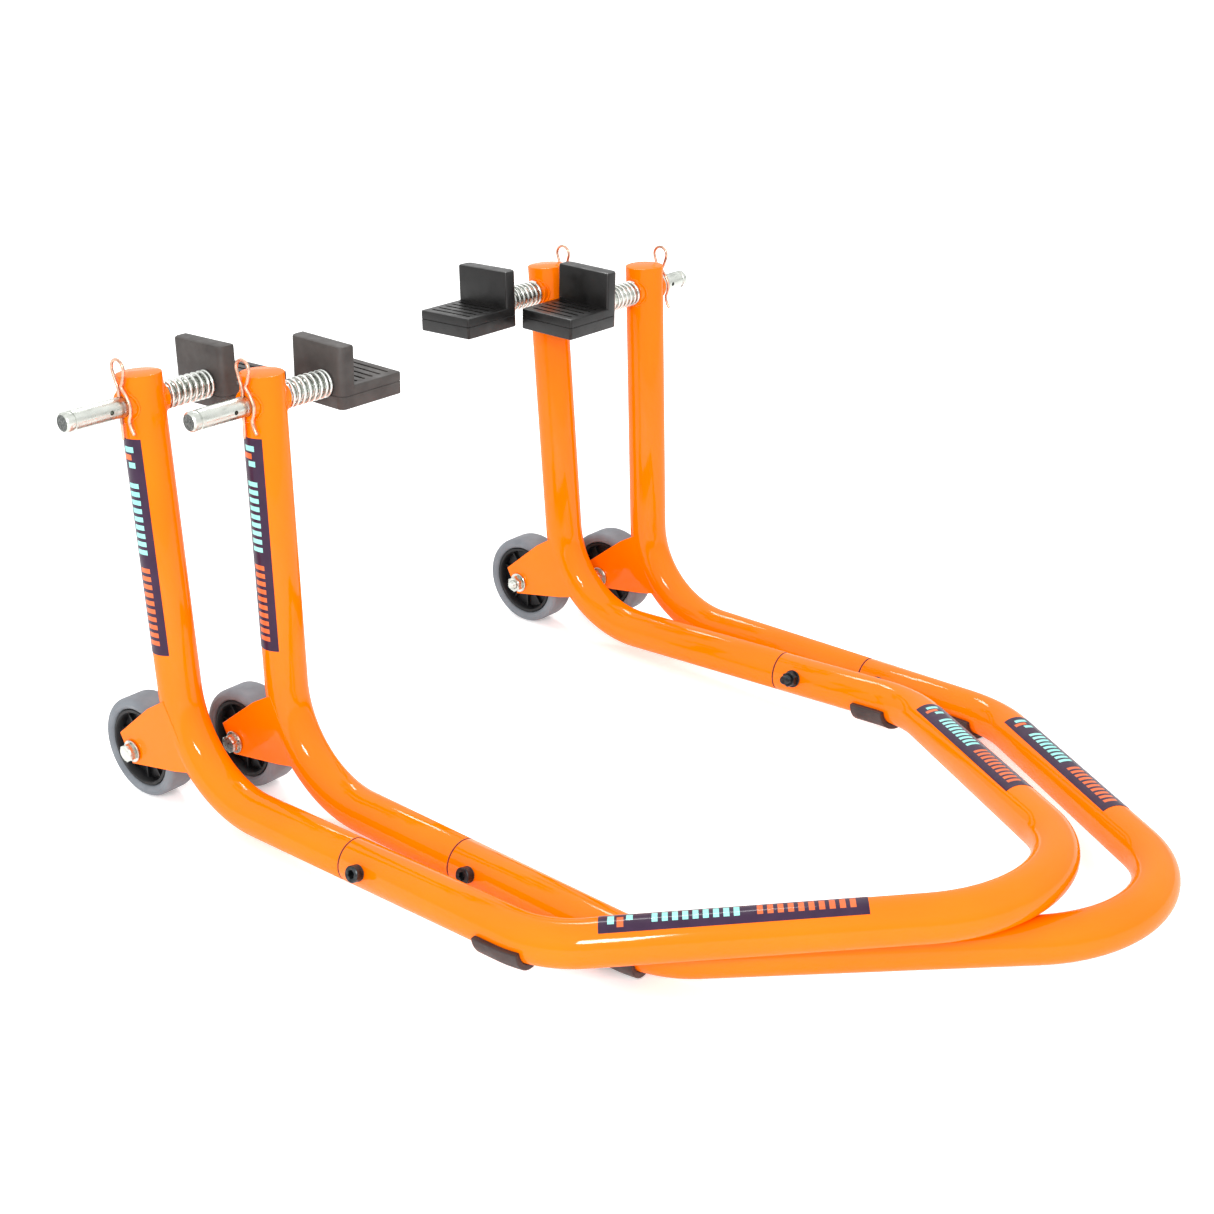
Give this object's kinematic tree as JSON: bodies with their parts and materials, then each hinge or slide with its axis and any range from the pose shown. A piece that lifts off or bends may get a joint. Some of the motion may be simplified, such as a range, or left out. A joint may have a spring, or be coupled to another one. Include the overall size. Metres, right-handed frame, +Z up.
{
  "type": "motorcycle paddock stands",
  "caption": "Bent-tube motorcycle paddock stands with wheels, rubber L rests on sprung pins, R-clips and bolted front loops, laid together.",
  "frame": {"origin": "middle of both stands' box on the floor", "axes": "+X from the left legs to the right legs, +Y from the noses to the wheels, +Z up"},
  "size_m": [0.664, 0.7958, 0.3811],
  "materials": {
    "frame_orange": "gloss orange powder coat",
    "tyre_grey": "matt grey rubber",
    "hub_black": "satin black plastic",
    "rest_rubber": "matt moulded rubber",
    "zinc": "bright zinc plate",
    "spring_zinc": "bright zinc plate",
    "clip_wire": "yellow-tinted zinc wire",
    "foot_rubber": "matt brown-black rubber",
    "screw_black": "black oxide"
  },
  "bodies": {
    "stand2_frame": {"stand2_front_loop": "frame_orange", "stand2_left_leg": "frame_orange", "stand2_left_cross_bush": "frame_orange", "stand2_left_axle_sleeve": "zinc", "stand2_left_axle_bolt": "zinc", "stand2_left_axle_nut": "zinc", "stand2_left_coupling_screw": "screw_black", "stand2_left_coupling_nut": "screw_black", "stand2_left_foot_pad": "foot_rubber", "stand2_right_leg": "frame_orange", "stand2_right_cross_bush": "frame_orange", "stand2_right_axle_sleeve": "zinc", "stand2_right_axle_bolt": "zinc", "stand2_right_axle_nut": "zinc", "stand2_right_coupling_screw": "screw_black", "stand2_right_coupling_nut": "screw_black", "stand2_right_foot_pad": "foot_rubber"},
    "stand1_frame": {"stand1_front_loop": "frame_orange", "stand1_left_leg": "frame_orange", "stand1_left_cross_bush": "frame_orange", "stand1_left_axle_sleeve": "zinc", "stand1_left_axle_bolt": "zinc", "stand1_left_axle_nut": "zinc", "stand1_left_coupling_screw": "screw_black", "stand1_left_coupling_nut": "screw_black", "stand1_left_foot_pad": "foot_rubber", "stand1_right_leg": "frame_orange", "stand1_right_cross_bush": "frame_orange", "stand1_right_axle_sleeve": "zinc", "stand1_right_axle_bolt": "zinc", "stand1_right_axle_nut": "zinc", "stand1_right_coupling_screw": "screw_black", "stand1_right_coupling_nut": "screw_black", "stand1_right_foot_pad": "foot_rubber"},
    "stand1_left_wheel": {"stand1_left_tyre": "tyre_grey", "stand1_left_wheel_hub": "hub_black"},
    "stand1_left_rest_turn": {"stand1_left_pin_spring": "spring_zinc"},
    "stand1_left_rest": {"stand1_left_rest_pin": "zinc", "stand1_left_rest_pad": "rest_rubber"},
    "stand1_left_clip": {"stand1_left_r_clip": "clip_wire"},
    "stand1_right_wheel": {"stand1_right_tyre": "tyre_grey", "stand1_right_wheel_hub": "hub_black"},
    "stand1_right_rest_turn": {"stand1_right_pin_spring": "spring_zinc"},
    "stand1_right_rest": {"stand1_right_rest_pin": "zinc", "stand1_right_rest_pad": "rest_rubber"},
    "stand1_right_clip": {"stand1_right_r_clip": "clip_wire"},
    "stand2_left_wheel": {"stand2_left_tyre": "tyre_grey", "stand2_left_wheel_hub": "hub_black"},
    "stand2_left_rest_turn": {"stand2_left_pin_spring": "spring_zinc"},
    "stand2_left_rest": {"stand2_left_rest_pin": "zinc", "stand2_left_rest_pad": "rest_rubber"},
    "stand2_left_clip": {"stand2_left_r_clip": "clip_wire"},
    "stand2_right_wheel": {"stand2_right_tyre": "tyre_grey", "stand2_right_wheel_hub": "hub_black"},
    "stand2_right_rest_turn": {"stand2_right_pin_spring": "spring_zinc"},
    "stand2_right_rest": {"stand2_right_rest_pin": "zinc", "stand2_right_rest_pad": "rest_rubber"},
    "stand2_right_clip": {"stand2_right_r_clip": "clip_wire"}
  },
  "joints": [
    {"name": "stand1_left_wheel_spin", "type": "hinge", "parent": "stand1_frame", "child": "stand1_left_wheel", "pos_m": [-0.196, 0.30493, 0.043], "axis": [1, 0, 0], "continuous": true},
    {"name": "stand1_left_rest_swivel", "type": "hinge", "parent": "stand1_frame", "child": "stand1_left_rest_turn", "pos_m": [-0.1301, 0.27113, 0.3414], "axis": [1, 0, 0], "range_deg": [-90, 90]},
    {"name": "stand1_left_rest_slide", "type": "slide", "parent": "stand1_left_rest_turn", "child": "stand1_left_rest", "axis": [-1, 0, 0], "range_m": [0, 0.025], "stiffness_N_per_m": 1500, "springref_m": -0.006, "deforming": ["stand1_left_pin_spring"]},
    {"name": "stand1_left_clip_pull", "type": "slide", "parent": "stand1_left_rest", "child": "stand1_left_clip", "axis": [0, 0, 1], "range_m": [0, 0.05]},
    {"name": "stand1_right_wheel_spin", "type": "hinge", "parent": "stand1_frame", "child": "stand1_right_wheel", "pos_m": [0.278, 0.30493, 0.043], "axis": [1, 0, 0], "continuous": true},
    {"name": "stand1_right_rest_swivel", "type": "hinge", "parent": "stand1_frame", "child": "stand1_right_rest_turn", "pos_m": [0.2121, 0.27113, 0.3414], "axis": [1, 0, 0], "range_deg": [-12, 90]},
    {"name": "stand1_right_rest_slide", "type": "slide", "parent": "stand1_right_rest_turn", "child": "stand1_right_rest", "axis": [1, 0, 0], "range_m": [0, 0.025], "stiffness_N_per_m": 1500, "springref_m": -0.006, "deforming": ["stand1_right_pin_spring"]},
    {"name": "stand1_right_clip_pull", "type": "slide", "parent": "stand1_right_rest", "child": "stand1_right_clip", "axis": [0, 0, 1], "range_m": [0, 0.05]},
    {"name": "stand2_left_wheel_spin", "type": "hinge", "parent": "stand2_frame", "child": "stand2_left_wheel", "pos_m": [-0.262, 0.35492, 0.043], "axis": [1, 0, 0], "continuous": true},
    {"name": "stand2_left_rest_swivel", "type": "hinge", "parent": "stand2_frame", "child": "stand2_left_rest_turn", "pos_m": [-0.1961, 0.33415, 0.34259], "axis": [1, 0, 0], "range_deg": [-90, 90]},
    {"name": "stand2_left_rest_slide", "type": "slide", "parent": "stand2_left_rest_turn", "child": "stand2_left_rest", "axis": [-1, 0, 0], "range_m": [0, 0.025], "stiffness_N_per_m": 1500, "springref_m": -0.006, "deforming": ["stand2_left_pin_spring"]},
    {"name": "stand2_left_clip_pull", "type": "slide", "parent": "stand2_left_rest", "child": "stand2_left_clip", "axis": [0, 0.0435, 0.9991], "range_m": [0, 0.05]},
    {"name": "stand2_right_wheel_spin", "type": "hinge", "parent": "stand2_frame", "child": "stand2_right_wheel", "pos_m": [0.212, 0.35492, 0.043], "axis": [1, 0, 0], "continuous": true},
    {"name": "stand2_right_rest_swivel", "type": "hinge", "parent": "stand2_frame", "child": "stand2_right_rest_turn", "pos_m": [0.1461, 0.33415, 0.34259], "axis": [1, 0, 0], "range_deg": [-90, 90]},
    {"name": "stand2_right_rest_slide", "type": "slide", "parent": "stand2_right_rest_turn", "child": "stand2_right_rest", "axis": [1, 0, 0], "range_m": [0, 0.025], "stiffness_N_per_m": 1500, "springref_m": -0.006, "deforming": ["stand2_right_pin_spring"]},
    {"name": "stand2_right_clip_pull", "type": "slide", "parent": "stand2_right_rest", "child": "stand2_right_clip", "axis": [0, 0.0435, 0.9991], "range_m": [0, 0.05]},
    {"name": "stand2_lift_off", "type": "slide", "parent": "stand1_frame", "child": "stand2_frame", "axis": [0, 0.5, 0.866], "range_m": [0, 0.2]}
  ]
}
